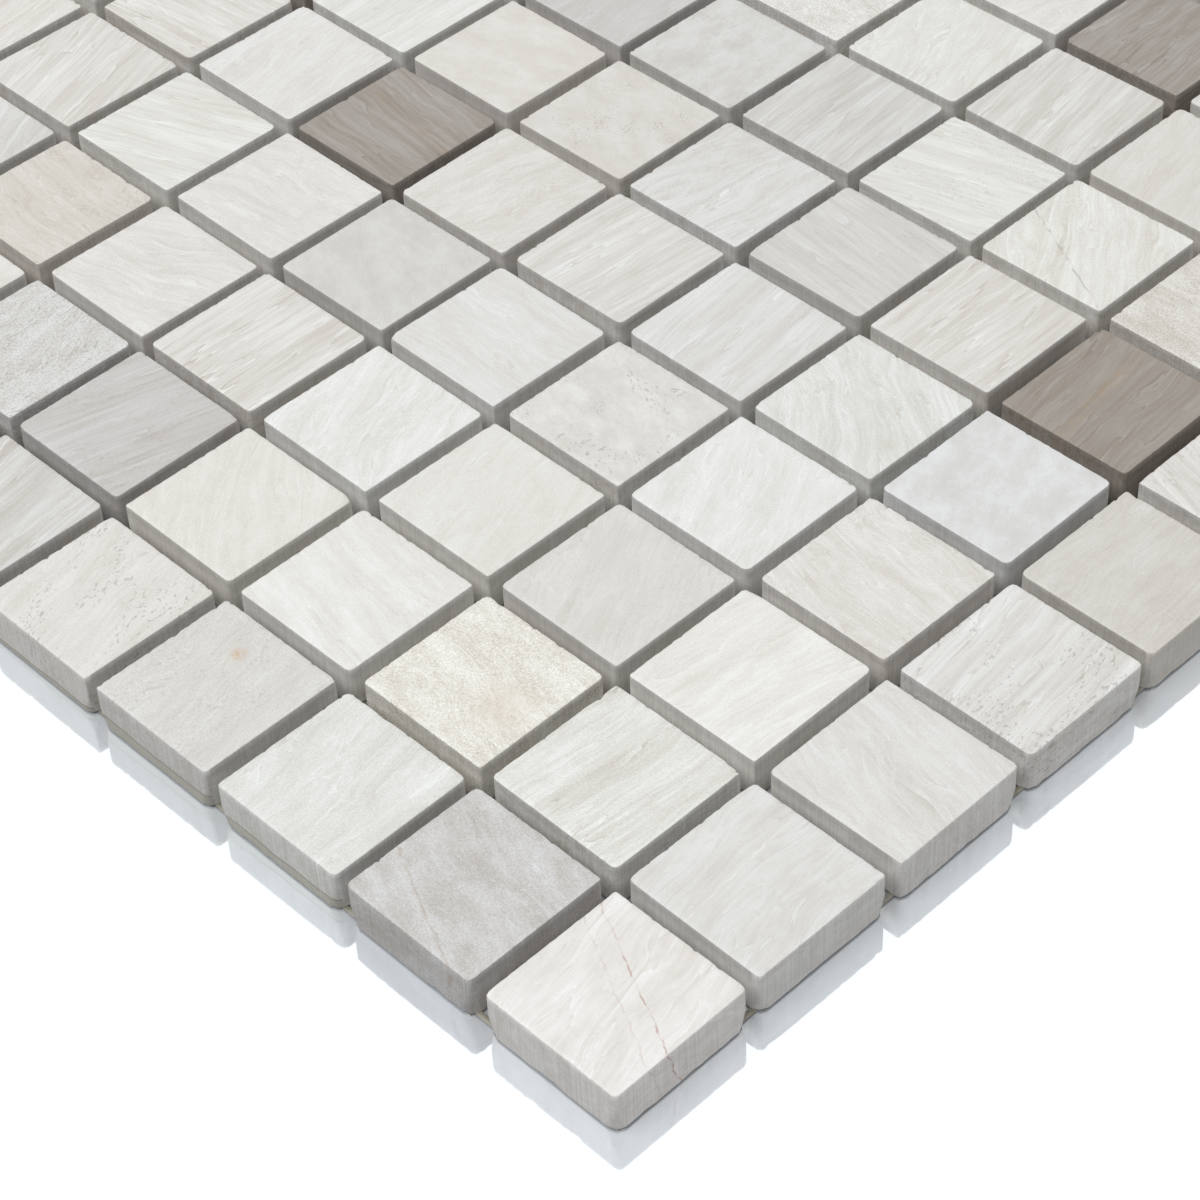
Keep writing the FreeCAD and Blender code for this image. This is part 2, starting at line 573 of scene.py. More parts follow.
            in_block[members] = places[members] / MM @ np.array(into_block).T + offset
            spread = 0.008 if (self.number, column) in NOTABLE_CHIPS else 0.035
            lightness = dice.uniform(1 - spread, 1 + spread)
            warmth = dice.uniform(-0.012, 0.012)
            red, green, blue = cut.stone.value
            tints[members, :3] = (red * lightness * (1 + warmth), green * lightness, blue * lightness * (1 - warmth))
            tints[members, 3] = grit
            makes[members] = (lines * dice.uniform(0.7, 1.2), cut.pits, clouds * dice.uniform(0.7, 1.2))
            waves[members] = waviness
        mesh.attributes.new("stone_place", "FLOAT_VECTOR", "POINT").data.foreach_set("vector", in_block.ravel())
        mesh.attributes.new("stone_tint", "FLOAT_COLOR", "POINT").data.foreach_set("color", tints.ravel())
        mesh.attributes.new("stone_make", "FLOAT_VECTOR", "POINT").data.foreach_set("vector", makes.ravel())
        mesh.attributes.new("stone_wave", "FLOAT", "POINT").data.foreach_set("value", waves)
        mesh.attributes.new("stone_crack", "FLOAT_VECTOR", "POINT").data.foreach_set("vector", cracks.ravel())
        mesh.attributes.new("stone_seam", "FLOAT_COLOR", "POINT").data.foreach_set("color", seams.ravel())
        mesh.attributes.new("stone_stain", "FLOAT_VECTOR", "POINT").data.foreach_set("vector", stains.ravel())
        mesh.attributes.new("glue_film", "FLOAT", "POINT").data.foreach_set("value", films)
        mesh.attributes.new("in_joint", "FLOAT", "POINT").data.foreach_set("value", in_joint)
        mesh.materials.append(stone)
        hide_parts(self.node)
        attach(self.piece, "root")


Socket = bpy.types.NodeSocket


class Shader:
    """A small helper that lays out a material's nodes."""

    def __init__(self, name: str) -> None:
        """Start an empty material.

        Args:
            name: The material's name.
        """
        self.material = bpy.data.materials.new(name)
        self.material.use_nodes = True
        self.tree = self.material.node_tree
        self.tree.nodes.clear()
        self.output = self.tree.nodes.new("ShaderNodeOutputMaterial")

    def node(self, kind: str, inputs: dict | None = None, **settings: object) -> bpy.types.Node:
        """Add a node.

        Args:
            kind: The node's type name.
            inputs: A value or another node's socket for each input, by its name or number.
            settings: The node's own settings.

        Returns:
            The new node.
        """
        made = self.tree.nodes.new(kind)
        for name, value in settings.items():
            setattr(made, name, value)
        for name, value in (inputs or {}).items():
            if isinstance(value, Socket):
                self.tree.links.new(value, made.inputs[name])
            else:
                made.inputs[name].default_value = value
        return made

    def attribute(self, name: str) -> bpy.types.Node:
        """Read one of the mesh's own attributes."""
        return self.node("ShaderNodeAttribute", attribute_name=name)

    def sum(self, first: object, second: object) -> Socket:
        """Add two numbers."""
        return self.node("ShaderNodeMath", {0: first, 1: second}, operation="ADD").outputs[0]

    def product(self, first: object, second: object) -> Socket:
        """Multiply two numbers."""
        return self.node("ShaderNodeMath", {0: first, 1: second}, operation="MULTIPLY").outputs[0]

    def power(self, base: Socket, exponent: float) -> Socket:
        """Raise a number to a power."""
        return self.node("ShaderNodeMath", {0: base, 1: exponent}, operation="POWER").outputs[0]

    def stretched(self, place: Socket, scale: tuple) -> Socket:
        """Scale a place along each of its axes.

        Args:
            place: The place to scale.
            scale: The three factors.

        Returns:
            The scaled place.
        """
        return self.node("ShaderNodeVectorMath", {0: place, 1: scale}, operation="MULTIPLY").outputs[0]

    def noise(self, place: Socket, scale: tuple, detail: float, rough: float = 0.5) -> Socket:
        """A cloudy pattern from 0 to 1.

        Args:
            place: Where to read the pattern.
            scale: Its fineness along each axis.
            detail: How many finer octaves it has.
            rough: How strong the finer octaves are.

        Returns:
            The pattern's value.
        """
        inputs = {"Vector": self.stretched(place, scale), "Scale": 1.0, "Detail": detail, "Roughness": rough}
        return self.node("ShaderNodeTexNoise", inputs).outputs["Fac"]

    def band(self, value: Socket, low: float, high: float, at_low: float, at_high: float) -> Socket:
        """Map a stretch of a value's range onto another, and hold it at the ends.

        Args:
            value: The value to map.
            low: The start of the stretch.
            high: The end of the stretch.
            at_low: The result at the start.
            at_high: The result at the end.

        Returns:
            The mapped value.
        """
        inputs = {"Value": value, "From Min": low, "From Max": high, "To Min": at_low, "To Max": at_high}
        return self.node("ShaderNodeMapRange", inputs, interpolation_type="SMOOTHSTEP").outputs[0]

    def mix(self, share: object, first: object, second: object, how: str = "MIX") -> Socket:
        """Mix two colours.

        Args:
            share: How much of the second colour comes in.
            first: The first colour.
            second: The second colour.
            how: The way of mixing.

        Returns:
            The mixed colour.
        """
        made = self.node("ShaderNodeMix", data_type="RGBA", blend_type=how)
        for socket, value in ((made.inputs[0], share), (made.inputs[6], first), (made.inputs[7], second)):
            if isinstance(value, Socket):
                self.tree.links.new(value, socket)
            else:
                socket.default_value = value
        return made.outputs[2]

    def apart(self, value: Socket, level: float) -> Socket:
        """How far a value is from a level."""
        gap = self.node("ShaderNodeMath", {0: value, 1: level}, operation="SUBTRACT").outputs[0]
        return self.node("ShaderNodeMath", {0: gap}, operation="ABSOLUTE").outputs[0]

    def surface(self, socket: Socket) -> bpy.types.Material:
        """Connect the finished surface.

        Args:
            socket: The shader's own output.

        Returns:
            The material.
        """
        self.tree.links.new(socket, self.output.inputs["Surface"])
        return self.material


@dataclass(frozen=True)
class VeinedMarble:
    """Honed marble with layers like the grain of wood, in the place and shade that each chip's attributes give."""

    band_tone: float = 0.062
    line_tone: float = 0.058
    layer_tone: float = 0.108
    layer_count: float = 9.0
    cloud_tone: float = 0.085
    grit_tone: float = 0.068
    honed: float = 0.5
    rough_sawn: float = 0.9
    glued: float = 0.65
    sawn_shade: tuple = (0.93, 0.92, 0.92, 1.0)
    saw_tone: float = 0.07
    # Painted shade near the top of the joint walls, and painted light further down
    painted_shade_at_top: float = 0.73
    painted_light_low_down: float = 1.13
    rust: tuple = (0.62, 0.44, 0.26, 1.0)
    old_glue: tuple = (0.51, 0.495, 0.42, 1.0)

    def make(self) -> bpy.types.Material:
        """Lay out the stone's nodes.

        Returns:
            The material.
        """
        shader = Shader("veined_marble")
        place = shader.attribute("stone_place").outputs["Vector"]
        tint = shader.attribute("stone_tint")
        wave = shader.attribute("stone_wave").outputs["Fac"]
        make = shader.node("ShaderNodeSeparateXYZ", {0: shader.attribute("stone_make").outputs["Vector"]})
        lines, pits, clouds = make.outputs
        bent = self._bent(shader, place, wave)
        grit = shader.noise(place, (3.6, 3.6, 3.6), 2, 0.75)
        tone = shader.sum(self._layers(shader, bent, lines), self._clouds(shader, place, clouds))
        gritty = shader.band(grit, 0.25, 0.75, -self.grit_tone, self.grit_tone)
        tone = shader.sum(tone, shader.product(gritty, tint.outputs["Alpha"]))
        tone = {0: shader.power(tone, 0.85), 1: tone, 2: shader.power(tone, 1.2)}
        tone = shader.node("ShaderNodeCombineXYZ", tone).outputs[0]
        colour = shader.mix(1.0, tint.outputs["Color"], tone, "MULTIPLY")
        colour = self._stained(shader, colour, grit)
        colour = self._cracked(shader, colour, bent)
        holes = self._holes(shader, bent, pits)
        # Dark colour in the pits: painted shade inside them
        colour = shader.mix(shader.product(holes, 0.42), colour, (0.25, 0.22, 0.19, 1))
        sawn = self._sawn(shader)
        marks = self._saw_marks(shader)
        streaks = shader.band(marks, 0.3, 0.7, 1 - self.saw_tone, 1 + self.saw_tone)
        streaks = shader.node("ShaderNodeCombineXYZ", {0: streaks, 1: streaks, 2: streaks}).outputs[0]
        sides = shader.mix(1.0, shader.mix(1.0, colour, self.sawn_shade, "MULTIPLY"), streaks, "MULTIPLY")
        # The joint walls get painted shade near the good face and painted light lower down
        sides = self._paint_joint_light_and_shade(shader, sides)
        colour = shader.mix(sawn, colour, sides)
        relief = shader.sum(shader.product(grit, 0.12), shader.product(shader.product(sawn, 0.45), marks))
        film, colour = self._glued(shader, colour, grit)
        roughness = shader.band(sawn, 0.0, 1.0, self.honed, self.rough_sawn)
        roughness = shader.sum(roughness, shader.product(film, self.glued - self.rough_sawn))
        bump = shader.node("ShaderNodeBump", {"Height": relief, "Distance": 0.12 * MM, "Strength": 0.6})
        inputs = {"Base Color": colour, "Roughness": roughness, "IOR": 1.5, "Normal": bump.outputs[0]}
        return shader.surface(shader.node("ShaderNodeBsdfPrincipled", inputs).outputs[0])

    def _bent(self, shader: Shader, place: Socket, wave: Socket) -> Socket:
        """The place in the block once its layers are bent.

        Args:
            shader: The material being made.
            place: The place in the block.
            wave: How wavy the chip's layers are.

        Returns:
            The bent place.
        """
        inputs = {"Vector": shader.stretched(place, (0.045, 0.09, 0.09)), "Scale": 1.0, "Detail": 2.0}
        swirl = shader.node("ShaderNodeTexNoise", inputs).outputs["Color"]
        centred = shader.node("ShaderNodeVectorMath", {0: swirl, 1: (0.5, 0.5, 0.5)}, operation="SUBTRACT")
        inputs = {0: centred.outputs[0], "Scale": shader.product(wave, 14.0)}
        offset = shader.node("ShaderNodeVectorMath", inputs, operation="SCALE").outputs[0]
        return shader.node("ShaderNodeVectorMath", {0: place, 1: offset}, operation="ADD").outputs[0]

    def _layers(self, shader: Shader, bent: Socket, lines: Socket) -> Socket:
        """The broad bands and fine lines of the layers, each of which starts pale and ends in a dark line.

        Args:
            shader: The material being made.
            bent: The bent place in the block.
            lines: How strong the chip's lines are.

        Returns:
            A tone about 1.
        """
        bands = shader.noise(bent, (0.03, 0.30, 0.30), 2, 0.55)
        bands = shader.band(bands, 0.28, 0.72, -self.band_tone, self.band_tone)
        fine = shader.noise(bent, (0.07, 1.3, 1.3), 2, 0.55)
        fine = shader.band(fine, 0.28, 0.72, -self.line_tone, self.line_tone)
        growth = shader.product(shader.noise(bent, (0.02, 0.26, 0.26), 3, 0.45), self.layer_count)
        step = shader.node("ShaderNodeMath", {0: growth}, operation="FRACT").outputs[0]
        pale = shader.band(step, 0.0, 0.28, self.layer_tone, 0.0)
        dark = shader.band(step, 0.78, 1.0, 0.0, -self.layer_tone)
        shown = shader.band(shader.noise(bent, (0.05, 0.30, 0.30), 2, 0.6), 0.38, 0.62, 0.15, 1.0)
        layers = shader.product(shader.sum(pale, dark), shown)
        tone = shader.sum(shader.sum(bands, fine), layers)
        return shader.sum(shader.product(tone, lines), 1.0)

    def _clouds(self, shader: Shader, place: Socket, clouds: Socket) -> Socket:
        """Soft clouds in the stone.

        Args:
            shader: The material being made.
            place: The place in the block.
            clouds: How strong the chip's clouds are.

        Returns:
            A tone about 0.
        """
        soft = shader.noise(place, (0.16, 0.24, 0.24), 3, 0.7)
        return shader.product(shader.band(soft, 0.25, 0.75, -self.cloud_tone, self.cloud_tone), clouds)

    def _stained(self, shader: Shader, colour: Socket, grit: Socket) -> Socket:
        """Rusty spots on the chips that have them.

        Args:
            shader: The material being made.
            colour: The stone's colour so far.
            grit: The finest pattern in the stone.

        Returns:
            The stone's colour with its spots.
        """
        place = shader.attribute("stone_stain").outputs["Vector"]
        strength = shader.node("ShaderNodeSeparateXYZ", {0: place}).outputs[2]
        flat = shader.stretched(place, (1.0, 1.0, 0.0))
        away = shader.node("ShaderNodeVectorMath", {0: flat}, operation="LENGTH").outputs["Value"]
        patchy = shader.product(shader.band(grit, 0.42, 0.66, 0.05, 0.75), strength)
        share = shader.product(shader.band(away, 0.15, 1.0, 1.0, 0.0), patchy)
        return shader.mix(share, colour, self.rust)

    def _cracked(self, shader: Shader, colour: Socket, bent: Socket) -> Socket:
        """Healed cracks on the chips that have them, broken into dashes.

        Args:
            shader: The material being made.
            colour: The stone's colour so far.
            bent: The bent place in the block.

        Returns:
            The stone's colour with its cracks.
        """
        parts = shader.node("ShaderNodeSeparateXYZ", {0: shader.attribute("stone_crack").outputs["Vector"]})
        gap, width, branch = parts.outputs
        seam = shader.attribute("stone_seam")
        wander = shader.noise(bent, (0.35, 0.35, 0.35), 2, 0.6)
        gap = shader.sum(gap, shader.product(shader.sum(wander, -0.5), 1.4))
        main = self._line(shader, gap, width)
        beside = shader.sum(gap, shader.product(branch, -1.0))
        faint = shader.product(self._line(shader, beside, width), 0.4)
        dashes = shader.band(shader.noise(bent, (0.55, 0.55, 0.55), 1, 0.5), 0.42, 0.60, 0.20, 1.0)
        share = shader.product(shader.product(shader.sum(main, faint), dashes), seam.outputs["Alpha"])
        return shader.mix(share, colour, seam.outputs["Color"])

    def _line(self, shader: Shader, gap: Socket, width: Socket) -> Socket:
        """1 on a line and 0 beyond its width, with a soft edge.

        Args:
            shader: The material being made.
            gap: How far the surface is from the line.
            width: Half the line's width.

        Returns:
            The share of the line.
        """
        away = shader.node("ShaderNodeMath", {0: shader.apart(gap, 0.0), 1: width}, operation="DIVIDE").outputs[0]
        return shader.band(away, 0.3, 1.0, 1.0, 0.0)

    def _holes(self, shader: Shader, bent: Socket, pits: Socket) -> Socket:
        """Small open pits, in clusters along the layers, drawn as dark colour only: painted shade inside them.

        Args:
            shader: The material being made.
            bent: The bent place in the block.
            pits: How pitted the chip is.

        Returns:
            1 in a pit and 0 elsewhere.
        """
        fine = shader.band(shader.noise(bent, (1.1, 2.2, 2.2), 2, 0.6), 0.57, 0.65, 0.0, 1.0)
        clusters = shader.band(shader.noise(bent, (0.09, 0.20, 0.20), 2, 0.5), 0.48, 0.58, 0.0, 1.0)
        return shader.product(shader.product(fine, clusters), pits)

    def _sawn(self, shader: Shader) -> Socket:
        """Where the surface is a sawn side: 1 there and 0 on the honed face.

        Args:
            shader: The material being made.

        Returns:
            The share of the sawn side.
        """
        normal = shader.node("ShaderNodeNewGeometry").outputs["Normal"]
        upward = shader.node("ShaderNodeSeparateXYZ", {0: normal}).outputs[2]
        return shader.band(shader.apart(upward, 0.0), 0.25, 0.75, 1.0, 0.0)

    def _paint_joint_light_and_shade(self, shader: Shader, sides: Socket) -> Socket:
        """The walls of the joints, with painted shade near the good face and painted light further down.

        Args:
            shader: The material being made.
            sides: The colour of the sawn sides.

        Returns:
            The colour of the sides with the painted shade and light.
        """
        place = shader.node("ShaderNodeTexCoord").outputs["Object"]
        height = shader.product(shader.node("ShaderNodeSeparateXYZ", {0: place}).outputs[2], 1 / MM)
        # Darker near the good face and lighter lower down: painted shade and painted light
        shade = shader.band(height, 4.2, 7.4, self.painted_light_low_down, self.painted_shade_at_top)
        shade = shader.node("ShaderNodeCombineXYZ", {0: shade, 1: shade, 2: shade}).outputs[0]
        in_joint = shader.attribute("in_joint").outputs["Fac"]
        return shader.mix(in_joint, sides, shader.mix(1.0, sides, shade, "MULTIPLY"))

    def _saw_marks(self, shader: Shader) -> Socket:
        """Faint upright marks, as the saw left them on the sides.

        Args:
            shader: The material being made.

        Returns:
            A pattern from 0 to 1.
        """
        place = shader.node("ShaderNodeTexCoord").outputs["Object"]
        return shader.noise(place, (2600.0, 2600.0, 70.0), 2, 0.6)

    def _glued(self, shader: Shader, colour: Socket, grit: Socket) -> tuple[Socket, Socket]:
        """A film of old glue round the foot of the chips that have one, on the sides that face left.

        Args:
            shader: The material being made.
            colour: The stone's colour so far.
            grit: The finest pattern in the stone.

        Returns:
            Where the film is, and the colour with it.
        """
        reach = shader.attribute("glue_film").outputs["Fac"]
        place = shader.node("ShaderNodeTexCoord").outputs["Object"]
        height = shader.product(shader.node("ShaderNodeSeparateXYZ", {0: place}).outputs[2], 1 / MM)
        uneven = shader.noise(place, (110.0, 110.0, 110.0), 2, 0.5)
        top = shader.sum(shader.sum(reach, 0.5), shader.product(shader.sum(uneven, -0.5), 1.6))
        below = shader.sum(top, shader.product(height, -1.0))
        normal = shader.node("ShaderNodeNewGeometry").outputs["Normal"]
        left = shader.band(shader.node("ShaderNodeSeparateXYZ", {0: normal}).outputs[0], -0.6, -0.3, 1.0, 0.0)
        left = shader.product(left, shader.band(reach, 0.1, 0.3, 0.0, 1.0))
        film = shader.product(shader.band(below, 0.0, 0.12, 0.0, 1.0), left)
        rim = shader.product(shader.band(shader.apart(below, 0.06), 0.0, 0.20, 0.75, 0.0), left)
        mixed = shader.mix(shader.product(film, shader.band(grit, 0.3, 0.7, 0.35, 1.0)), colour, self.old_glue)
        return film, shader.mix(rim, mixed, (0.20, 0.18, 0.12, 1.0))


@dataclass(frozen=True)
class CoatedYarn:
    """A bundle of glass fibres in a milky coating, its colours darkened as painted shade for the joints."""

    name: str
    fineness: tuple

    def make(self) -> bpy.types.Material:
        """Lay out the yarn's nodes.

        Returns:
            The material.
        """
        shader = Shader(self.name)
        place = shader.node("ShaderNodeTexCoord").outputs["Object"]
        fibres = shader.noise(place, self.fineness, 2, 0.6)
        patches = shader.noise(place, (260.0, 260.0, 260.0), 3, 0.6)
        # The coating's own colours, darkened as painted shade for the joints where the yarns show
        colour = shader.mix(shader.band(patches, 0.3, 0.7, 0.0, 1.0), (0.27, 0.25, 0.19, 1), (0.42, 0.40, 0.34, 1))
        shade = shader.band(fibres, 0.25, 0.75, 0.82, 1.06)
        grey = shader.node("ShaderNodeCombineXYZ", {0: shade, 1: shade, 2: shade}).outputs[0]
        colour = shader.mix(1.0, colour, grey, "MULTIPLY")
        bump = shader.node("ShaderNodeBump", {"Height": fibres, "Distance": 0.06 * MM, "Strength": 0.7})
        roughness = shader.band(patches, 0.3, 0.7, 0.38, 0.58)
        inputs = {"Base Color": colour, "Roughness": roughness, "IOR": 1.5, "Normal": bump.outputs[0]}
        return shader.surface(shader.node("ShaderNodeBsdfPrincipled", inputs).outputs[0])


@dataclass(frozen=True)
class HardenedGlue:
    """Hardened glue, yellowish and a little cloudy."""

    thin: tuple = (0.63, 0.61, 0.52, 1.0)
    thick: tuple = (0.48, 0.45, 0.34, 1.0)

    def make(self) -> bpy.types.Material:
        """Lay out the glue's nodes.

        Returns:
            The material.
        """
        shader = Shader("hardened_glue")
        place = shader.node("ShaderNodeTexCoord").outputs["Object"]
        depth = shader.noise(place, (180.0, 180.0, 180.0), 3, 0.6)
        ripples = shader.noise(place, (1100.0, 1100.0, 1100.0), 2, 0.5)
        colour = shader.mix(shader.band(depth, 0.35, 0.7, 0.0, 1.0), self.thin, self.thick)
        bump = shader.node("ShaderNodeBump", {"Height": ripples, "Distance": 0.1 * MM, "Strength": 0.5})
        roughness = shader.band(ripples, 0.3, 0.7, 0.22, 0.42)
        inputs = {"Base Color": colour, "Roughness": roughness, "IOR": 1.47, "Normal": bump.outputs[0]}
        return shader.surface(shader.node("ShaderNodeBsdfPrincipled", inputs).outputs[0])


@dataclass
class WovenNet:
    """The glass-fibre net: flat yarns both ways, each passing under and over the ones that it crosses."""

    yarn_pitch: float = PITCH / YARNS_PER_CHIP
    yarn_width: float = 0.9 * MM
    yarn_thickness: float = 0.24 * MM
    middle: float = 0.25 * MM
    rise: float = 0.125 * MM
    yarn_sides: int = 6
    stray: float = 0.5 * MM
    stray_size: float = 30 * MM
    yarns: int = CHIPS_PER_SIDE * YARNS_PER_CHIP

    def __post_init__(self) -> None:
        """Read how far the yarns reach."""
        low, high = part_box("net_warp")
        self.reach = (high[0] - low[0]) / 2
        self.first = -(self.yarns - 1) / 2 * self.yarn_pitch

    def build(self) -> list[bpy.types.Object]:
        """Weave both sets of yarns.

        Returns:
            The warp, which runs along the rows, and the weft, which runs across them.
        """
        warp = self._woven_yarn()
        self._lay_side_by_side(warp)
        make_active(warp)
        bpy.ops.object.duplicate()
        weft = bpy.context.object
        bpy.ops.object.mode_set(mode="EDIT")
        bpy.ops.mesh.select_all(action="SELECT")
        bpy.ops.transform.rotate(value=math.pi / 2, orient_axis="Z", center_override=(0, 0, self.middle))
        bpy.ops.object.mode_set(mode="OBJECT")
        across = CoatedYarn("coated_weft_yarn", (5200.0, 420.0, 5200.0))
        along = CoatedYarn("coated_warp_yarn", (420.0, 5200.0, 5200.0))
        for yarns, name, finish, way in ((warp, "net_warp", along, "Y"), (weft, "net_weft", across, "X")):
            yarns.name = f"woven_{name}"
            self._let_stray(yarns, way)
            yarns.data.materials.append(finish.make())
            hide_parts(name)
            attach(yarns, "root")
        return [warp, weft]

    def _woven_yarn(self) -> bpy.types.Object:
        """Model one yarn that rises and dips once for every two yarns that it crosses.

        Returns:
            A yarn along X, longer than the sheet.
        """
        deselect_all()
        wave = 2 * self.yarn_pitch
        bpy.ops.mesh.primitive_cylinder_add(
            vertices=self.yarn_sides, radius=self.yarn_width / 2, depth=wave, end_fill_type="NOTHING",
            location=(self.first, self.first, self.middle), rotation=(0, math.pi / 2, 0),
        )
        yarn = bpy.context.object
        bpy.ops.object.transform_apply(location=True, rotation=True, scale=True)
        flatness = self.yarn_thickness / (self.yarn_width * math.cos(math.pi / self.yarn_sides))
        start, end = edge_ends(yarn.data)
        select_edges(yarn, np.abs(end - start)[:, 0] > self.yarn_pitch)
        bpy.ops.mesh.subdivide(number_cuts=3)
        bpy.ops.mesh.select_all(action="SELECT")
        bpy.ops.transform.resize(value=(1, 1, flatness), center_override=(self.first, self.first, self.middle))
        bpy.ops.object.mode_set(mode="OBJECT")
        from_middle = np.abs(vertex_places(yarn.data)[:, 0] - self.first)
        for wanted, lift in ((from_middle < self.stray, self.rise), (from_middle > 0.9 * self.yarn_pitch, -self.rise)):
            select_vertices(yarn, wanted)
            bpy.ops.transform.translate(value=(0, 0, lift))
            bpy.ops.object.mode_set(mode="OBJECT")
        self._repeat(yarn, self.yarns // 2 + 1, (wave, 0, 0))
        return yarn

    def _lay_side_by_side(self, yarn: bpy.types.Object) -> None:
        """Repeat a yarn across the sheet, every other one out of step, and trim them all.

        Args:
            yarn: One yarn along X.
        """
        make_active(yarn)
        bpy.ops.object.mode_set(mode="EDIT")
        bpy.ops.mesh.select_all(action="SELECT")
        step = {"value": (-self.yarn_pitch, self.yarn_pitch, 0)}
        bpy.ops.mesh.duplicate_move(TRANSFORM_OT_translate=step)
        bpy.ops.object.mode_set(mode="OBJECT")
        self._repeat(yarn, self.yarns // 2, (0, 2 * self.yarn_pitch, 0))
        bpy.ops.object.mode_set(mode="EDIT")
        for side in (-1, 1):
            bpy.ops.mesh.select_all(action="SELECT")
            bpy.ops.mesh.bisect(
                plane_co=(side * self.reach, 0, 0), plane_no=(side, 0, 0), use_fill=True, clear_outer=True,
            )
        bpy.ops.mesh.select_all(action="SELECT")
        bpy.ops.mesh.normals_make_consistent(inside=False)
        bpy.ops.object.mode_set(mode="OBJECT")
        bpy.ops.object.shade_smooth_by_angle(angle=math.radians(70))

    def _repeat(self, yarn: bpy.types.Object, count: int, step: tuple) -> None:
        """Repeat a piece in a row, and join what meets.

        Args:
            yarn: The piece.
            count: How many there are in the end.
            step: From one to the next.
        """
        make_active(yarn)
        row = yarn.modifiers.new("row", "ARRAY")
        row.count = count
        row.use_relative_offset = False
        row.use_constant_offset = True
        row.constant_offset_displace = step
        row.use_merge_vertices = True
        row.merge_threshold = 0.001 * MM
        bpy.ops.object.modifier_apply(modifier=row.name)

    def _let_stray(self, yarns: bpy.types.Object, way: str) -> None:
        """Let the yarns wander a little to either side.

        Args:
            yarns: All the yarns of one direction.
            way: The axis that they wander along.
        """
        make_active(yarns)
        texture = bpy.data.textures.new(f"stray_{way}", "CLOUDS")
        texture.noise_scale = self.stray_size
        wander = yarns.modifiers.new("wander", "DISPLACE")
        wander.texture = texture
        wander.texture_coords = "LOCAL"
        wander.direction = way
        wander.strength = self.stray
        bpy.ops.object.modifier_apply(modifier=wander.name)


@dataclass
class GluePads:
    """The glue that holds the chips to the net: an uneven pad under each chip, with the upper yarns in it."""

    radius: float = 8.6 * MM
    thickness: float = 0.10 * MM
    lip: float = 0.8 * MM
    bulge: float = 0.07 * MM
    sides: int = 18
    top: float = 0.5 * MM

    def build(self) -> bpy.types.Object:
        """Model one pad and repeat it under every chip.

        Returns:
            The pads, as one piece.
        """
        deselect_all()
        corner = -(CHIPS_PER_SIDE - 1) / 2 * PITCH
        bpy.ops.mesh.primitive_cylinder_add(
            vertices=self.sides, radius=self.radius, depth=self.thickness,
            location=(corner, corner, self.top - self.thickness / 2),
        )
        pads = bpy.context.object
        pads.name = "glue_pads"
        bpy.ops.object.transform_apply(location=True, rotation=True, scale=True)
        select_faces(pads, face_normals(pads.data)[:, 2] < -0.9)
        bpy.ops.mesh.inset(thickness=self.lip)
        bpy.ops.transform.translate(value=(0, 0, -self.bulge))
        bpy.ops.mesh.inset(thickness=4 * self.lip)
        bpy.ops.object.mode_set(mode="OBJECT")
        for way, step in (("along", (PITCH, 0, 0)), ("across", (0, PITCH, 0))):
            row = pads.modifiers.new(way, "ARRAY")
            row.count = CHIPS_PER_SIDE
            row.use_relative_offset = False
            row.use_constant_offset = True
            row.constant_offset_displace = step
            bpy.ops.object.modifier_apply(modifier=way)
        for way, size, depth in (("X", 11.0, 4.6), ("Y", 12.0, 4.6), ("X", 2.6, 1.8), ("Y", 3.0, 1.8)):
            texture = bpy.data.textures.new(f"ragged_{way}_{size}", "CLOUDS")
            texture.noise_scale = size * MM
            ragged = pads.modifiers.new("ragged", "DISPLACE")
            ragged.texture = texture
            ragged.texture_coords = "LOCAL"
            ragged.direction = way
            ragged.strength = depth * MM
            bpy.ops.object.modifier_apply(modifier=ragged.name)
        bpy.ops.object.shade_smooth_by_angle(angle=math.radians(30))
        pads.data.materials.append(HardenedGlue().make())
        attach(pads, "root")
        return pads


@dataclass
class Camera:
    """The camera, at the place and angle from which the sheet was photographed."""

    place: tuple = (-0.30988, -0.32714, 0.32269)
    azimuth: float = -42.41
    elevation: float = 44.42
    roll: float = -3.11
    lens_mm: float = 98.4
    sensor_mm: float = 36.0

    def build(self) -> bpy.types.Object:
        """Set up the camera.

        Returns:
            The camera's object.
        """
        azimuth, elevation, roll = (math.radians(angle) for angle in (self.azimuth, self.elevation, self.roll))
        back = Vector((
            math.sin(azimuth) * math.cos(elevation),
            -math.cos(azimuth) * math.cos(elevation),
            math.sin(elevation),
        ))
        right = Vector((math.cos(azimuth), math.sin(azimuth), 0))
        up = back.cross(right)
        turned_right = right * math.cos(roll) + up * math.sin(roll)
        turned_up = up * math.cos(roll) - right * math.sin(roll)
        data = bpy.data.cameras.new("camera")
        data.lens = self.lens_mm
        data.sensor_width = self.sensor_mm
        data.clip_start = 0.01
        data.clip_end = 20
        camera = bpy.data.objects.new("camera", data)
        turn = Matrix((turned_right, turned_up, back)).transposed().to_4x4()
        camera.matrix_world = Matrix.Translation(self.place) @ turn
        bpy.context.scene.collection.objects.link(camera)
        bpy.context.scene.camera = camera
        return camera


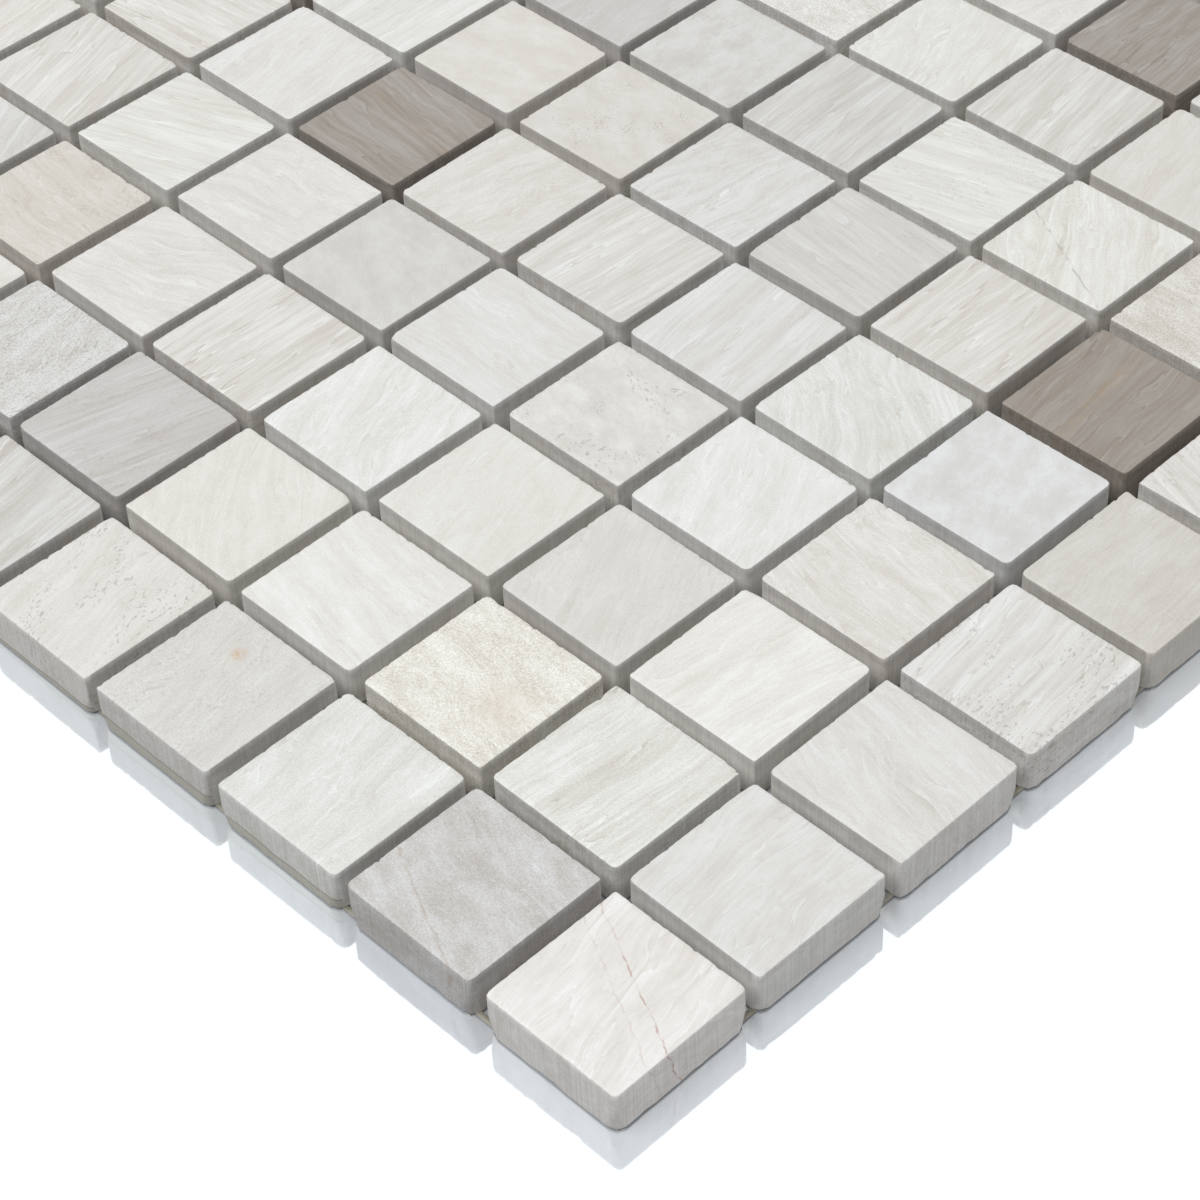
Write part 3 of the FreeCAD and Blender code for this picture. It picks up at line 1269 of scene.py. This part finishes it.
@dataclass
class Studio:
    """A pale, glossy floor under a soft lamp on the left, a weak one low at the front, and an even sky."""

    floor_size: float = 6.0
    floor_colour: tuple = (0.90, 0.95, 1.00, 1.0)
    floor_white: float = 1.15
    floor_bounce: float = 0.20
    floor_gloss: float = 0.62
    sky_level: float = 0.55
    lamp_size: float = 1.6
    lamp_watts: float = 36.0
    lamp_place: tuple = (-1.35, 0.40, 2.20)
    fill_size: float = 1.0
    fill_watts: float = 7.0
    fill_place: tuple = (0.20, -1.80, 0.30)

    def build(self) -> None:
        """Lay the floor, hang the lamp and set the sky."""
        self._floor()
        self._lamp("softbox", self.lamp_size, self.lamp_watts, self.lamp_place)
        self._lamp("low_softbox", self.fill_size, self.fill_watts, self.fill_place)
        self._sky()
        bpy.context.scene.view_settings.view_transform = "Standard"

    def _floor(self) -> None:
        """Lay the floor."""
        deselect_all()
        bpy.ops.mesh.primitive_plane_add(size=self.floor_size)
        floor = bpy.context.object
        floor.name = "studio_floor"
        shader = Shader("white_floor")
        seen = shader.node("ShaderNodeLightPath").outputs["Is Camera Ray"]
        white = shader.band(seen, 0.0, 1.0, self.floor_bounce, self.floor_white)
        level = shader.node("ShaderNodeCombineXYZ", {0: white, 1: white, 2: white}).outputs[0]
        colour = shader.mix(1.0, self.floor_colour, level, "MULTIPLY")
        matt = shader.node("ShaderNodeBsdfDiffuse", {"Color": colour}).outputs[0]
        polished = shader.node("ShaderNodeBsdfGlossy", {"Color": colour, "Roughness": 0.04}).outputs[0]
        both = shader.node("ShaderNodeMixShader", {0: self.floor_gloss, 1: matt, 2: polished}).outputs[0]
        floor.data.materials.append(shader.surface(both))

    def _lamp(self, name: str, size: float, watts: float, place: tuple) -> None:
        """Hang a soft lamp and point it at the middle of the sheet.

        Args:
            name: The lamp's name.
            size: Its width.
            watts: Its strength.
            place: Where it hangs.
        """
        data = bpy.data.lights.new(name, "AREA")
        data.shape = "SQUARE"
        data.size = size
        data.energy = watts
        lamp = bpy.data.objects.new(name, data)
        lamp.location = place
        lamp.rotation_euler = (-Vector(place)).to_track_quat("-Z", "Y").to_euler()
        bpy.context.scene.collection.objects.link(lamp)

    def _sky(self) -> None:
        """Light the scene evenly from all round, and show white behind it."""
        world = bpy.data.worlds.new("sky")
        bpy.context.scene.world = world
        world.use_nodes = True
        tree = world.node_tree
        tree.nodes.clear()
        rays = tree.nodes.new("ShaderNodeLightPath")
        seen = tree.nodes.new("ShaderNodeMath")
        seen.operation = "MAXIMUM"
        tree.links.new(rays.outputs["Is Camera Ray"], seen.inputs[0])
        tree.links.new(rays.outputs["Is Glossy Ray"], seen.inputs[1])
        level = tree.nodes.new("ShaderNodeMapRange")
        level.inputs["To Min"].default_value = self.sky_level
        level.inputs["To Max"].default_value = 1.0
        tree.links.new(seen.outputs[0], level.inputs["Value"])
        sky = tree.nodes.new("ShaderNodeBackground")
        sky.inputs["Color"].default_value = (1, 1, 1, 1)
        tree.links.new(level.outputs[0], sky.inputs["Strength"])
        output = tree.nodes.new("ShaderNodeOutputWorld")
        tree.links.new(sky.outputs[0], output.inputs["Surface"])


def mixed_cut(dice: random.Random) -> Cut:
    """Draw a chip from the common mix.

    Args:
        dice: The source of chance.

    Returns:
        What the chip was cut from.
    """
    stone = dice.choices(list(COMMON_STONES), list(COMMON_STONES.values()))[0]
    grain = dice.choices(list(COMMON_GRAINS), list(COMMON_GRAINS.values()))[0]
    turn = dice.choice((0, 0, 90)) + dice.uniform(-20, 20)
    pits = dice.choice((0, 0, 0, 0.1, 0.5))
    return Cut(stone, grain, turn, pits)


def main() -> None:
    """Build the sheet, row by row, and then the studio round it."""
    logging.basicConfig(level=logging.INFO, format="%(name)s: %(message)s")
    dice = random.Random(SHEET_SEED)
    stone = VeinedMarble().make()
    for number in range(CHIPS_PER_SIDE):
        row = ChipRow(number)
        piece = row.build()
        cuts = [NOTABLE_CHIPS.get((number, column)) or mixed_cut(dice) for column in range(CHIPS_PER_SIDE)]
        row.dress(cuts, dice, stone)
        log.info("%s has %d faces", piece.name, len(piece.data.polygons))
    for piece in (*WovenNet().build(), GluePads().build()):
        log.info("%s has %d faces", piece.name, len(piece.data.polygons))
    Camera().build()
    Studio().build()
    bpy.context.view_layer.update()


if __name__ == "__main__":
    main()
